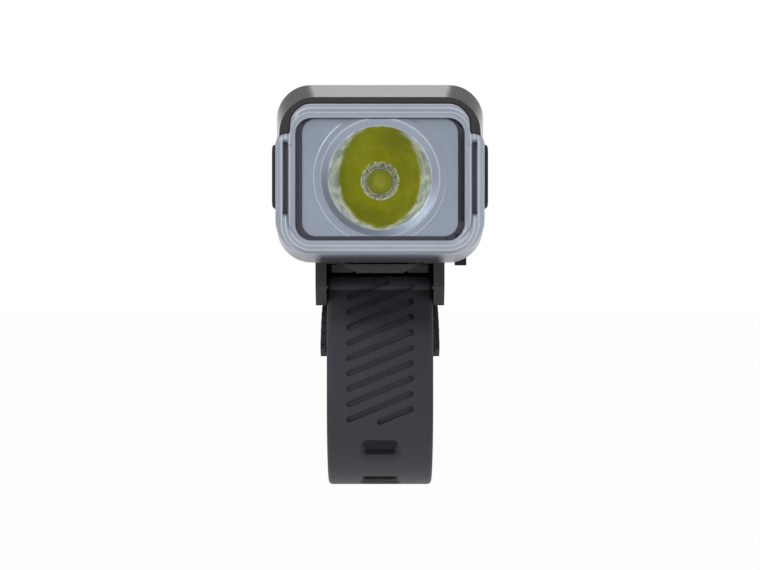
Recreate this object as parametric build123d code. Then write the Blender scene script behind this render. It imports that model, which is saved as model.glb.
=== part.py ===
from build123d import *
from math import cos, pi, radians, sin, sqrt
import os

os.makedirs("parts", exist_ok=True)

# A bike headlight on a strap bracket. The origin is the centre of the handlebar, which runs along X.
# The lamp looks along -Y and +Z is up. All sizes are in millimetres.

# Handlebar and the strap round it
bar_diameter = 35.0
strap_thickness = 2.8
strap_width = 23.3

# Bracket
pad_thickness = 1.8
saddle_rise = 8.6
bracket_side_wall = 2.15
rail_lip_thickness = 1.35

# Lamp body
lamp_width = 42.2
lamp_height = 34.6
lamp_front = 52.0
lamp_rear = 42.0
shell_wall = 2.0
shell_corner_radius = 7.0
upper_shell_height = 11.4

# Lens and optics
lens_depth = 10.0
lens_axis_above_floor = 15.3
window_width = 34.2
window_height = 25.6
bezel_width = 31.4
bezel_height = 23.6
bowl_rim_radius = 10.4
bowl_focal_length = 2.25

# Cell
cell_radius = 9.2
cell_length = 65.2

# Clearances
slide_clearance = 0.15
part_gap = 0.3
fit_gap = 0.1
pin_clearance = 0.05
overrun = 1.0

# Heights and places that the pieces share
bar_radius = bar_diameter / 2
pad_radius = bar_radius + pad_thickness
deck_z = pad_radius + saddle_rise
shoe_flange_thickness = 1.75
shoe_bottom_z = deck_z + slide_clearance
shoe_flange_top_z = shoe_bottom_z + shoe_flange_thickness
rail_lip_z = shoe_flange_top_z + slide_clearance
rail_top_z = rail_lip_z + rail_lip_thickness
floor_z = rail_top_z + part_gap
lamp_top_z = floor_z + lamp_height
split_z = lamp_top_z - upper_shell_height
lens_axis_z = floor_z + lens_axis_above_floor
half_lamp = lamp_width / 2
body_front_y = -lamp_front + lens_depth
strap_outer_radius = bar_radius + strap_thickness
strap_middle_radius = bar_radius + strap_thickness / 2
strap_side_gap = 0.35
core_half_width = strap_width / 2 + strap_side_gap
bracket_half_width = core_half_width + bracket_side_wall


def save(name, shape):
    """Write one piece, named as its node."""
    shape.label = name
    export_step(shape, f"parts/{name}.step")


def front_slab(face, y_front, y_back):
    """Extrude a front-view outline between two depths."""
    return extrude(Plane.XZ.offset(-y_back) * face, amount=y_back - y_front)


def side_slab(face, half_width, x_middle=0):
    """Extrude a side-view outline to both sides of a middle plane."""
    return extrude(Plane.YZ.offset(x_middle) * face, amount=half_width, both=True)


def block(x_low, x_high, y_low, y_high, z_low, z_high):
    """A box between two corners."""
    size = Box(x_high - x_low, y_high - y_low, z_high - z_low)
    middle = Location(((x_low + x_high) / 2, (y_low + y_high) / 2, (z_low + z_high) / 2))
    return middle * size


def rounded_rectangle(width, z_low, z_high, low_radius, high_radius):
    """A front-view rectangle with one corner radius below and another above."""
    half = width / 2
    points = [(-half, z_low), (half, z_low), (half, z_high), (-half, z_high)]
    radii = [low_radius, low_radius, high_radius, high_radius]
    return make_face(FilletPolyline(*points, radius=radii, close=True))


def upright_rod(x, y, z_low, z_high, radius):
    """A cylinder along Z."""
    return Location((x, y, (z_low + z_high) / 2)) * Cylinder(radius, z_high - z_low)


def rod_along_x(half_length, y, z, radius):
    """A cylinder along X through the middle plane."""
    return Location((0, y, z)) * Rotation(0, 90, 0) * Cylinder(radius, 2 * half_length)


def rod_along_y(x, z, y_low, y_high, radius):
    """A cylinder along Y."""
    return Location((x, (y_low + y_high) / 2, z)) * Rotation(90, 0, 0) * Cylinder(radius, y_high - y_low)


def one_solid(shape):
    """The largest solid of a result that should be in one piece."""
    return max(shape.solids(), key=lambda solid: solid.volume)


# Strap: its side view is one band of constant thickness. It leaves the bracket under the lamp, comes down
# the front, goes round the bar, and ends in a pull tab that leans away at the rear.
strap_lean = 35
strap_bend_drop = 1.9
strap_straight_height = bar_radius - strap_bend_drop
strap_slope_length = 11.35
strap_front_bend_radius = 6.0
tail_bend_rise = 0.5
tail_straight_height = bar_radius + tail_bend_rise
tail_lean = 30
tail_tip_length = 9.0
tail_bend_radius = 8.0
strap_pin_radius = 0.8
strap_pin_skin = 0.7
strap_eye_radius = 2.3
slot_width = 7.6
slot_length = 4.0
slot_side_bevel = 1.1
slot_end_bevel = 1.8
slot_bevel_depth = 1.0
slot_corner_radius = 1.1
first_slot_angle = 33
slot_step_angle = 36
rear_hinge_angle = 163
groove_width = 1.35
groove_depth = 0.7
groove_span = 13.4
groove_pitch = 3.35
groove_rise = 5.6
strap_edge_round = 0.9

strap_pin_y = -strap_middle_radius + strap_slope_length * sin(radians(strap_lean))
strap_pin_z = strap_straight_height + strap_slope_length * cos(radians(strap_lean))
tail_bend_y = strap_middle_radius
tail_tip_y = tail_bend_y + tail_tip_length * sin(radians(tail_lean))
tail_tip_z = tail_straight_height + tail_tip_length * cos(radians(tail_lean))
rear_hinge_y = strap_outer_radius * cos(radians(180 - rear_hinge_angle))
rear_hinge_z = -strap_outer_radius * sin(radians(180 - rear_hinge_angle))


def strap_front_line():
    """The strap's middle line from the pin down to the level of the bar's centre."""
    return FilletPolyline(
        (strap_pin_y, strap_pin_z),
        (-strap_middle_radius, strap_straight_height),
        (-strap_middle_radius, 0),
        radius=strap_front_bend_radius,
    )


def strap_middle_line():
    """The strap's middle line in side view, from the pin to the end of the pull tab."""
    under = ThreePointArc((-strap_middle_radius, 0), (0, -strap_middle_radius), (strap_middle_radius, 0))
    rear = FilletPolyline(
        (strap_middle_radius, 0),
        (tail_bend_y, tail_straight_height),
        (tail_tip_y, tail_tip_z),
        radius=tail_bend_radius,
    )
    return strap_front_line() + under + rear


def strap_blank():
    """The whole strap before it is cut, with an eye round the pin and a thicker end on the tail."""
    band = trace(strap_middle_line(), strap_thickness)
    eye = Location((strap_pin_y, strap_pin_z)) * Circle(strap_eye_radius)
    tip = Location((tail_tip_y, tail_tip_z)) * Circle(strap_thickness / 2)
    strap = side_slab(band + eye + tip, strap_width / 2)
    side_edges = [edge for edge in strap.edges() if is_side_edge(edge)]
    rounded = fillet(side_edges, strap_edge_round)
    return rounded - rod_along_x(strap_width, strap_pin_y, strap_pin_z, strap_pin_radius + pin_clearance)


def is_side_edge(edge):
    """True for an edge that lies in one of the strap's two side faces."""
    box = edge.bounding_box()
    flat = box.size.X < fit_gap
    return flat and abs(abs(box.center().X) - strap_width / 2) < fit_gap


def outward_plane(point, angle):
    """Sketch plane on the strap's outer face: local X runs along the bar, local Y runs up the strap."""
    outward = Vector(0, cos(radians(angle)), sin(radians(angle)))
    return Plane(origin=(0, point[0], point[1]), x_dir=(1, 0, 0), z_dir=outward)


def slot_cutter(plane):
    """A slot through the strap with a bevelled outer edge."""
    hole = RectangleRounded(slot_width, slot_length, slot_corner_radius)
    through = extrude(plane * hole, amount=strap_thickness + overrun, both=True)
    rim_width = slot_width + 2 * slot_side_bevel
    rim_length = slot_length + 2 * slot_end_bevel
    rim = RectangleRounded(rim_width, rim_length, slot_corner_radius + slot_side_bevel)
    funnel = loft([plane * rim, plane.offset(-slot_bevel_depth) * hole])
    mouth = extrude(plane * rim, amount=overrun)
    return through + funnel + mouth


def round_slot_plane(index):
    """Sketch plane of a slot on the round part of the strap."""
    angle = 180 + first_slot_angle + index * slot_step_angle
    point = (strap_outer_radius * cos(radians(angle)), strap_outer_radius * sin(radians(angle)))
    return outward_plane(point, angle)


def groove_cutter(centre_height, left_share, right_share):
    """One diagonal groove on the strap's front, between two shares of the groove's span."""
    x_left = groove_span * (left_share - 1 / 2)
    x_right = groove_span * (right_share - 1 / 2)
    z_left = centre_height + groove_rise * (left_share - 1 / 2)
    z_right = centre_height + groove_rise * (right_share - 1 / 2)
    pen = trace(Line((x_left, z_left), (x_right, z_right)), groove_width)
    ends = [Location(spot) * Circle(groove_width / 2) for spot in ((x_left, z_left), (x_right, z_right))]
    face = pen + ends[0] + ends[1]
    return extrude(Plane.XZ.offset(-strap_pin_y) * face, amount=strap_outer_radius)


def front_skin():
    """The outer layer of the strap's front run, which the grooves are cut into."""
    middle = strap_front_line()
    under = ThreePointArc(
        (-strap_middle_radius, 0),
        (-strap_middle_radius * cos(pi / 8), -strap_middle_radius * sin(pi / 8)),
        (-strap_middle_radius * cos(pi / 4), -strap_middle_radius * sin(pi / 4)),
    )
    run = middle + under
    inside = make_face(run + Polyline(run @ 1, (0, 0), (strap_pin_y, strap_pin_z)))
    core = trace(run, strap_thickness - 2 * groove_depth)
    whole = trace(run, strap_thickness + 4 * groove_depth)
    pin_wall = rod_along_x(strap_width, strap_pin_y, strap_pin_z, strap_pin_radius + strap_pin_skin)
    return side_slab(whole - core - inside, strap_width) - pin_wall


groove_count = 9
lowest_groove_z = -4.6
first_groove_share = 0.6
last_groove_shares = (0.5, 1.0)


def strap_grooves():
    """The diagonal grooves, with a short one at each end of the row."""
    heights = [lowest_groove_z + groove_pitch * index for index in range(1, groove_count)]
    cutters = [groove_cutter(height, 0, 1) for height in heights]
    cutters.append(groove_cutter(lowest_groove_z, *last_groove_shares))
    cutters.append(groove_cutter(lowest_groove_z + groove_pitch * groove_count, 0, first_groove_share))
    skin = front_skin()
    return [skin & cutter for cutter in cutters]


tail_slot_drop = 4.5
tail_slot_height = bar_radius - tail_slot_drop


def strap_pieces():
    """Front, rear and tail of the strap, cut at the two places where it bends when it opens."""
    strap = strap_blank()
    for index in range(3):
        strap -= slot_cutter(round_slot_plane(index))
    strap -= slot_cutter(outward_plane((strap_outer_radius, 0), 0))
    strap -= slot_cutter(outward_plane((strap_outer_radius, tail_slot_height), 0))
    for groove in strap_grooves():
        strap -= groove
    reach = 2 * (tail_tip_z + strap_outer_radius)
    front_half = block(-reach, reach, -reach, 0, -reach, reach)
    tail_side = Location((0, rear_hinge_y, rear_hinge_z)) * Rotation(rear_hinge_angle - 180, 0, 0)
    tail_half = tail_side * block(-reach, reach, -reach, reach, 0, reach)
    front = one_solid(strap & front_half)
    tail = one_solid((strap - front_half) & tail_half)
    rear = one_solid(strap - front_half - tail_half)
    return front, rear, tail


# Saddle pad: a rubber arc between the bar and the bracket, with a ribbed bead along each side.
pad_end_angle = 33
pad_bead_width = 1.0
pad_bead_height = 1.4
pad_rib_count = 13
pad_rib_width = 1.1
pad_rib_height = 0.5
pad_half_width = core_half_width + fit_gap + pad_bead_width


def arc_band(inner_radius, outer_radius, end_angle, half_width, x_middle=0):
    """A band over the top of the bar, in the side view's polar angles."""
    ring = Circle(outer_radius) - Circle(inner_radius)
    reach = 2 * outer_radius
    low = (reach * cos(radians(end_angle)), reach * sin(radians(end_angle)))
    fan = make_face(Polyline((0, 0), low, (0, 2 * reach), (-low[0], low[1]), close=True))
    return side_slab(ring & fan, half_width, x_middle)


def saddle_pad():
    pad = arc_band(bar_radius, pad_radius, pad_end_angle, pad_half_width)
    bead_middle = pad_half_width - pad_bead_width / 2
    bead_radius = pad_radius + pad_bead_height
    for side in (-1, 1):
        pad += arc_band(bar_radius, bead_radius, pad_end_angle, pad_bead_width / 2, side * bead_middle)
    step = (180 - 2 * pad_end_angle) / pad_rib_count
    for index in range(pad_rib_count):
        angle = pad_end_angle + (index + 1 / 2) * step
        rib = Location((0, 0, bead_radius)) * Box(2 * pad_half_width, pad_rib_width, 2 * pad_rib_height)
        rib -= Box(2 * core_half_width + 2 * fit_gap, 2 * bead_radius, 3 * bead_radius)
        pad += Rotation(angle - 90, 0, 0) * rib
    return one_solid(pad)


# Bracket body: a saddle between two cheeks that carry the rails, with the strap's pin at the front and
# its hook at the rear.
leg_face_y = bar_radius - part_gap
leg_end_angle = 34
cheek_front_rise = 1.1
cheek_front_y = -bar_radius - cheek_front_rise
bracket_rear_rise = 1.7
bracket_rear_y = bar_radius + bracket_rear_rise
cheek_drop = 7.1
cheek_low_z = deck_z - cheek_drop
cheek_bevel_drop = 3.0
cheek_bevel_z = deck_z - cheek_bevel_drop
cheek_bevel_depth = 2.8
cheek_arch_rise = 2.9
cheek_arch_radius = pad_radius + cheek_arch_rise
shoe_length = 28.0
shoe_rear_y = 15.0
shoe_half_flange = 11.6
shoe_half_neck = 9.4
shoe_front_y = shoe_rear_y - shoe_length
rail_inner = shoe_half_flange + slide_clearance
lip_inner = shoe_half_neck + slide_clearance
deck_front_y = -7.5
latch_rib_length = 2.0
latch_notch_length = 2.4
latch_notch_depth = 0.9
eye_clearance = 0.3
hook_width = 6.6
hook_thickness = 2.4
hook_length = 5.0
hook_slope = 10
bracket_edge_round = 0.6


def is_at(edge, place):
    """True for an edge along X at a side-view place."""
    middle = edge.center()
    return abs(middle.Y - place[0]) < fit_gap and abs(middle.Z - place[1]) < fit_gap


def saddle_core():
    """The saddle between the cheeks: two legs, the sloped seat of the strap and the deck."""
    lean = radians(strap_lean)
    seat_offset = strap_thickness / 2 + fit_gap
    seat_y = -strap_middle_radius + seat_offset * cos(lean)
    seat_z = strap_straight_height - seat_offset * sin(lean)
    slope_start = (-leg_face_y, seat_z + (-leg_face_y - seat_y) * cos(lean) / sin(lean))
    rise = strap_pin_z - slope_start[1]
    slope_end = (slope_start[0] + rise * sin(lean) / cos(lean), strap_pin_z)
    tip_y = pad_radius * cos(radians(leg_end_angle))
    tip_z = pad_radius * sin(radians(leg_end_angle))
    outline = Polyline(
        (-leg_face_y, tip_z),
        slope_start,
        slope_end,
        (deck_front_y, deck_z),
        (bracket_rear_y, deck_z),
        (bracket_rear_y, cheek_bevel_z),
        (leg_face_y, cheek_low_z),
        (leg_face_y, tip_z),
        (tip_y, tip_z),
        (0, 0),
        (-tip_y, tip_z),
        close=True,
    )
    core = side_slab(make_face(outline), core_half_width)
    bend = [edge for edge in core.edges().filter_by(Axis.X) if is_at(edge, slope_start)]
    core = fillet(bend, strap_front_bend_radius - seat_offset)
    core -= rod_along_x(bracket_half_width, 0, 0, pad_radius)
    core -= rod_along_x(core_half_width, strap_pin_y, strap_pin_z, strap_eye_radius + fit_gap)
    return core


def bracket_cheek(side):
    """One cheek with its rail and lip."""
    outline = Polyline(
        (cheek_front_y, rail_top_z),
        (cheek_front_y, cheek_bevel_z),
        (cheek_front_y + cheek_bevel_depth, cheek_low_z),
        (-cheek_front_y - cheek_bevel_depth, cheek_low_z),
        (bracket_rear_y, cheek_bevel_z),
        (bracket_rear_y, rail_top_z),
        close=True,
    )
    wall_middle = (rail_inner + bracket_half_width) / 2
    wall = side_slab(make_face(outline), (bracket_half_width - rail_inner) / 2, side * wall_middle)
    wall -= rod_along_x(lamp_width, 0, 0, cheek_arch_radius)
    lip_middle = (lip_inner + bracket_half_width) / 2
    lip_half = (bracket_half_width - lip_inner) / 2
    low_x = side * lip_middle - lip_half
    high_x = side * lip_middle + lip_half
    lip = block(low_x, high_x, cheek_front_y + cheek_bevel_depth / 2, bracket_rear_y, rail_lip_z, rail_top_z)
    return wall + lip


def strap_hook():
    """The prong at the rear that the strap's last slot goes over. It rises a little towards its tip."""
    low_z = tail_slot_height - hook_thickness / 2
    rise = hook_length * sin(radians(hook_slope)) / cos(radians(hook_slope))
    root_y = leg_face_y - overrun
    outline = Polyline(
        (root_y, low_z),
        (leg_face_y, low_z),
        (leg_face_y + hook_length, low_z + rise),
        (leg_face_y + hook_length, low_z + rise + hook_thickness),
        (leg_face_y, low_z + hook_thickness),
        (root_y, low_z + hook_thickness),
        close=True,
    )
    return side_slab(make_face(outline), hook_width / 2)


def bracket_body():
    body = saddle_core() + bracket_cheek(-1) + bracket_cheek(1) + strap_hook()
    stop_y = shoe_rear_y + part_gap
    stop_half = rail_inner + fit_gap
    body += block(-stop_half, stop_half, stop_y, bracket_rear_y, deck_z - overrun, rail_top_z)
    rail_edge = [edge for edge in body.edges().filter_by(Axis.Z) if edge.center().Y > shoe_rear_y + overrun]
    rail_edge = [edge for edge in rail_edge if abs(edge.center().X) > rail_inner + fit_gap]
    body = fillet(rail_edge, bracket_edge_round)
    notch_front = deck_front_y + latch_rib_length
    body -= block(
        -lever_half_width - part_gap,
        lever_half_width + part_gap,
        notch_front,
        notch_front + latch_notch_length,
        deck_z - latch_notch_depth,
        deck_z + overrun,
    )
    pin_half = core_half_width + bracket_side_wall / 2
    body -= rod_along_x(pin_half, strap_pin_y, strap_pin_z, strap_pin_radius)
    return one_solid(body)


def strap_pin():
    return rod_along_x(core_half_width + bracket_side_wall / 2, strap_pin_y, strap_pin_z, strap_pin_radius)


# Mount shoe: two flanged rails under the lamp, joined by a bridge at the rear, with the release lever
# between them.
lever_half_width = 5.8
lever_channel_half = lever_half_width + part_gap
bridge_front_y = 10.0
lever_pivot_y = 7.0
lever_hub_radius = 1.45
lever_pin_radius = 0.75
lever_pin_half = 7.6
lever_thickness = 1.5
lever_bottom_gap = 0.25
tooth_drop = 0.5
tooth_length = 1.6
tab_front_y = -21.0
tab_rear_y = shoe_front_y - 1.3
tab_half_top = 7.9
tab_half_bottom = 4.9
tab_drop = 0.35
tab_rise = 1.55
shoe_screw_x = 7.9
shoe_screw_front_y = -9.0
shoe_screw_rear_y = 12.5
shoe_screw_radius = 1.0
shoe_screw_head_radius = 1.75
shoe_screw_head_height = 1.1
shoe_screw_length = 6.3
shoe_screw_sides = (-shoe_screw_x, shoe_screw_x)
shoe_screw_places = [(x, y) for x in shoe_screw_sides for y in (shoe_screw_front_y, shoe_screw_rear_y)]

lever_z = shoe_bottom_z + lever_bottom_gap
lever_pivot_z = lever_z + lever_hub_radius


def shoe_outline(half_flange, half_neck):
    """Front-view section of the shoe: a flange below and a narrower neck above."""
    return make_face(
        Polyline(
            (-half_flange, shoe_bottom_z),
            (half_flange, shoe_bottom_z),
            (half_flange, shoe_flange_top_z),
            (half_neck, shoe_flange_top_z),
            (half_neck, floor_z),
            (-half_neck, floor_z),
            (-half_neck, shoe_flange_top_z),
            (-half_flange, shoe_flange_top_z),
            close=True,
        )
    )


def mount_shoe():
    shoe = front_slab(shoe_outline(shoe_half_flange, shoe_half_neck), shoe_front_y, shoe_rear_y)
    shoe -= block(
        -lever_channel_half,
        lever_channel_half,
        shoe_front_y - overrun,
        bridge_front_y,
        shoe_bottom_z - overrun,
        floor_z + overrun,
    )
    upright = [edge for edge in shoe.edges().filter_by(Axis.Z) if edge.center().Y < shoe_front_y + fit_gap]
    outer = [edge for edge in upright if abs(abs(edge.center().X) - shoe_half_flange) < fit_gap]
    shoe = chamfer(outer, shoe_flange_thickness / 2)
    shoe -= rod_along_x(lever_pin_half, lever_pivot_y, lever_pivot_z, lever_pin_radius)
    for x, y in shoe_screw_places:
        shoe -= countersunk_screw(x, y, 0)
    return one_solid(shoe)


def countersunk_screw(x, y, shrink):
    """A countersunk screw from below, or its hole."""
    radius = shoe_screw_radius - shrink
    shank = upright_rod(x, y, shoe_bottom_z, shoe_bottom_z + shoe_screw_length, radius)
    cone = Cone(shoe_screw_head_radius, radius, shoe_screw_head_height)
    return shank + Location((x, y, shoe_bottom_z + shoe_screw_head_height / 2)) * cone


screw_socket_radius = 0.7
screw_socket_depth = 0.6


def shoe_screws():
    """Four screws, each with a driver recess."""
    screws = []
    for x, y in shoe_screw_places:
        socket = upright_rod(x, y, shoe_bottom_z, shoe_bottom_z + screw_socket_depth, screw_socket_radius)
        screws.append(one_solid(countersunk_screw(x, y, 0) - socket))
    return Compound(children=screws)


def release_lever():
    """Latch lever: a pivot hub, an arm with a tooth, and a curved thumb tab in front."""
    arm_rear = lever_pivot_y + lever_hub_radius / 2
    arm = block(-lever_half_width, lever_half_width, tab_rear_y, arm_rear, lever_z, lever_z + lever_thickness)
    hub = rod_along_x(lever_half_width, lever_pivot_y, lever_pivot_z, lever_hub_radius)
    tooth_rear = deck_front_y + latch_rib_length + latch_notch_length - part_gap
    tooth = block(
        -lever_half_width + part_gap,
        lever_half_width - part_gap,
        tooth_rear - tooth_length,
        tooth_rear,
        deck_z - tooth_drop,
        lever_z + fit_gap,
    )
    low_z = lever_z - tab_drop
    high_z = lever_z + tab_rise
    shield = FilletPolyline(
        (-tab_half_bottom, low_z),
        (tab_half_bottom, low_z),
        (tab_half_top, high_z - lever_thickness / 3),
        (tab_half_top, high_z),
        (-tab_half_top, high_z),
        (-tab_half_top, high_z - lever_thickness / 3),
        radius=[lever_thickness, lever_thickness, fit_gap, fit_gap, fit_gap, fit_gap],
        close=True,
    )
    tab = front_slab(make_face(shield), tab_front_y, tab_rear_y + fit_gap)
    lever = arm + hub + tooth + tab
    lever -= rod_along_x(lamp_width, lever_pivot_y, lever_pivot_z, lever_pin_radius + pin_clearance)
    return one_solid(lever)


def lever_pin():
    return rod_along_x(lever_pin_half, lever_pivot_y, lever_pivot_z, lever_pin_radius)


# Housing: one rounded body, hollowed and split into a top and a bottom shell. Its front wall carries a
# collar that goes into the lens.
rear_round = 6.0
collar_depth = 4.5
collar_wall = 1.1
front_wall = 2.0
lens_pocket_width = 35.2
lens_pocket_height = 26.4
lens_pocket_radius = 4.5


def body_envelope(inset):
    """The housing's outside, drawn in by a wall."""
    outline = rounded_rectangle(
        lamp_width - 2 * inset,
        floor_z + inset,
        lamp_top_z - inset,
        shell_corner_radius - inset,
        shell_corner_radius - inset,
    )
    body = front_slab(outline, body_front_y, lamp_rear - inset)
    rear_edges = body.faces().sort_by(Axis.Y)[-1].edges()
    return fillet(rear_edges, rear_round - inset)


def lens_rectangle(width, height, radius):
    """A front-view rectangle centred on the lens axis."""
    return Location((0, lens_axis_z)) * RectangleRounded(width, height, radius)


def hollow_body():
    """The housing with its cavity, front wall and collar, before it is split."""
    cavity = body_envelope(shell_wall)
    cavity -= block(
        -lamp_width,
        lamp_width,
        body_front_y - overrun,
        body_front_y + front_wall,
        0,
        2 * lamp_top_z,
    )
    body = body_envelope(0) - cavity
    collar_width = lens_pocket_width - 2 * slide_clearance
    collar_height = lens_pocket_height - 2 * slide_clearance
    collar = lens_rectangle(collar_width, collar_height, lens_pocket_radius - slide_clearance)
    bore = lens_rectangle(
        collar_width - 2 * collar_wall,
        collar_height - 2 * collar_wall,
        lens_pocket_radius - slide_clearance - collar_wall,
    )
    body += front_slab(collar, body_front_y - collar_depth, body_front_y + fit_gap)
    body -= front_slab(bore, body_front_y - collar_depth - overrun, body_front_y + front_wall + overrun)
    return body


# Lens outline: narrower above, where the hood wraps round it, with an ear at each side below.
lens_half_upper = 18.1
lens_half_lower = 21.0
lens_top_above_axis = 14.8
ear_top_above_axis = 8.8
lens_lower_radius = 7.0
lens_upper_radius = 4.4
ear_corner_radius = 2.2
ear_notch_radius = 0.5
lens_top_z = lens_axis_z + lens_top_above_axis
ear_top_z = lens_axis_z + ear_top_above_axis
skirt_drop = 1.7
skirt_length = 8.0
lens_face_lift = 1.8
lens_edge_round = 1.3
window_recess = 0.6
window_bevel = 1.0
window_corner_radius = 4.2
pane_thickness = 1.0
rim_groove_inset = 2.3
rim_groove_width = 0.5
rim_groove_depth = 0.35
ear_slot_inner = 18.4
ear_slot_width = 1.1
ear_slot_depth = 1.6
ear_slot_low_above_axis = -7.4
ear_slot_high_above_axis = 7.0
lens_skirt_z = floor_z - skirt_drop
window_pane_y = -lamp_front + window_recess


def lens_outline(low_z, grow):
    """Front view of the lens, larger all round by grow where it is used to cut a seat."""
    points = [
        (-lens_half_lower - grow, low_z - grow),
        (lens_half_lower + grow, low_z - grow),
        (lens_half_lower + grow, ear_top_z + grow),
        (lens_half_upper + grow, ear_top_z + grow),
        (lens_half_upper + grow, lens_top_z + grow),
        (-lens_half_upper - grow, lens_top_z + grow),
        (-lens_half_upper - grow, ear_top_z + grow),
        (-lens_half_lower - grow, ear_top_z + grow),
    ]
    low = lens_lower_radius + grow
    high = lens_upper_radius + grow
    ear = ear_corner_radius + grow
    notch = ear_notch_radius - grow
    radii = [low, low, ear, notch, high, high, notch, ear]
    return make_face(FilletPolyline(*points, radius=radii, close=True))


def lens_cover():
    """Clear moulding with a frosted frame, side ears, a skirt below and a pocket behind its window."""
    face_low_z = lens_skirt_z + lens_face_lift
    front_plane = Plane.XZ.offset(lamp_front)
    skirt_plane = front_plane.offset(-skirt_length)
    face = front_plane * lens_outline(face_low_z, 0)
    body = loft([face, skirt_plane * lens_outline(lens_skirt_z, 0)], ruled=True)
    body += front_slab(lens_outline(lens_skirt_z, 0), -lamp_front + skirt_length, body_front_y)
    front_edges = body.faces().sort_by(Axis.Y)[0].edges()
    body = fillet(front_edges, lens_edge_round)
    groove = offset(lens_outline(face_low_z, 0), amount=-rim_groove_inset)
    groove -= offset(lens_outline(face_low_z, 0), amount=-rim_groove_inset - rim_groove_width)
    body -= front_slab(groove, -lamp_front - overrun, -lamp_front + rim_groove_depth)
    wide = lens_rectangle(
        window_width + 2 * window_bevel,
        window_height + 2 * window_bevel,
        window_corner_radius + window_bevel,
    )
    window = lens_rectangle(window_width, window_height, window_corner_radius)
    body -= loft([front_plane * wide, front_plane.offset(-window_recess) * window])
    for side in (-1, 1):
        slot_middle = side * (ear_slot_inner + ear_slot_width / 2)
        low_z = lens_axis_z + ear_slot_low_above_axis
        high_z = lens_axis_z + ear_slot_high_above_axis
        body -= block(
            slot_middle - ear_slot_width / 2,
            slot_middle + ear_slot_width / 2,
            -lamp_front - overrun,
            -lamp_front + ear_slot_depth,
            low_z,
            high_z,
        )
    pocket = lens_rectangle(lens_pocket_width, lens_pocket_height, lens_pocket_radius)
    body -= front_slab(pocket, window_pane_y + pane_thickness, body_front_y + overrun)
    return one_solid(body)


# Optics, from the bezel back to the board. The bowl is a paraboloid whose focus is at the emitter's dome.
bezel_gap = 0.6
bezel_thickness = 1.2
bezel_corner_radius = 2.8
bowl_wall = 1.0
bowl_lead_in = 0.5
bowl_lead_radius = 12.0
ring_outer_radius = 13.4
ring_height = 0.3
bowl_base_radius = 3.95
facet_count = 12
facet_ring_radius = 2.95
facet_ring_depth = 2.1
neck_wall = 1.1
emitter_side = 5.0
emitter_thickness = 0.8
dome_radius = 2.65
led_board_radius = 8.0
led_board_thickness = 1.6
bowl_points = 7

bezel_front_y = window_pane_y + pane_thickness + bezel_gap
bowl_rim_y = bezel_front_y + bowl_lead_in
bowl_vertex_y = bowl_rim_y + bowl_rim_radius**2 / (4 * bowl_focal_length)
bowl_base_y = bowl_vertex_y - bowl_base_radius**2 / (4 * bowl_focal_length)
emitter_front_y = bowl_base_y + facet_ring_depth
led_board_front_y = emitter_front_y + emitter_thickness
led_board_rear_y = led_board_front_y + led_board_thickness


def turned(points_face):
    """Turn a profile, drawn as radius and depth, round the lens axis."""
    return Location((0, 0, lens_axis_z)) * revolve(points_face, Axis.Y)


def bowl_curve(wall):
    """The paraboloid's generating curve, moved out by a wall."""
    points = []
    for index in range(bowl_points):
        share = index / (bowl_points - 1)
        radius = bowl_rim_radius + share * (bowl_base_radius - bowl_rim_radius)
        depth = bowl_vertex_y - radius**2 / (4 * bowl_focal_length)
        points.append((radius + wall, depth))
    return Spline(*points)


def facet_outline(radius):
    """A regular outline round the lens axis."""
    return Location((0, lens_axis_z)) * RegularPolygon(radius, facet_count)


def reflector():
    """Bezel plate and chromed bowl in one moulding, with a faceted ring round the emitter."""
    plate_face = lens_rectangle(bezel_width, bezel_height, bezel_corner_radius)
    plate = front_slab(plate_face, bezel_front_y, bezel_front_y + bezel_thickness)
    ring = Location((0, lens_axis_z)) * (Circle(ring_outer_radius) - Circle(bowl_lead_radius))
    plate += front_slab(ring & plate_face, bezel_front_y - ring_height, bezel_front_y + fit_gap)
    outer_curve = bowl_curve(bowl_wall)
    back_y = bezel_front_y + bezel_thickness / 2
    shell_outline = outer_curve + Polyline(
        outer_curve @ 1,
        (bowl_base_radius + bowl_wall, led_board_front_y),
        (0, led_board_front_y),
        (0, back_y),
        (bowl_rim_radius + bowl_wall, back_y),
        outer_curve @ 0,
    )
    body = plate + turned(make_face(shell_outline))
    inner_curve = bowl_curve(0)
    cavity_outline = inner_curve + Polyline(
        inner_curve @ 1,
        (0, bowl_base_y),
        (0, bezel_front_y - overrun),
        (bowl_lead_radius, bezel_front_y - overrun),
        (bowl_lead_radius, bezel_front_y),
        inner_curve @ 0,
    )
    body -= turned(make_face(cavity_outline))
    base_plane = Plane.XZ.offset(-bowl_base_y)
    ring_plane = Plane.XZ.offset(-emitter_front_y)
    body -= loft(
        [base_plane * facet_outline(bowl_base_radius), ring_plane * facet_outline(facet_ring_radius)]
    )
    neck_bore = Location((0, lens_axis_z)) * Circle(bowl_base_radius + bowl_wall - neck_wall)
    body -= front_slab(neck_bore, emitter_front_y - fit_gap, led_board_front_y + overrun)
    return one_solid(body)


def lens_gasket():
    """Black rubber frame round the bezel, with a lip behind it."""
    gap = fit_gap
    front_y = window_pane_y + pane_thickness
    rear_y = body_front_y - collar_depth
    lip_y = bezel_front_y + bezel_thickness
    outer = lens_rectangle(
        lens_pocket_width - 2 * gap,
        lens_pocket_height - 2 * gap,
        lens_pocket_radius - gap,
    )
    seat = lens_rectangle(bezel_width + 2 * gap, bezel_height + 2 * gap, bezel_corner_radius + gap)
    lip_overlap = 2 * bowl_wall
    hole = lens_rectangle(
        bezel_width - lip_overlap,
        bezel_height - lip_overlap,
        bezel_corner_radius - bowl_wall,
    )
    hole += Location((0, lens_axis_z)) * Circle(bowl_rim_radius + bowl_wall + part_gap)
    gasket = front_slab(outer, front_y, rear_y)
    gasket -= front_slab(seat, front_y - overrun, lip_y)
    gasket -= front_slab(hole, lip_y - overrun, rear_y + overrun)
    return one_solid(gasket)


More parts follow.
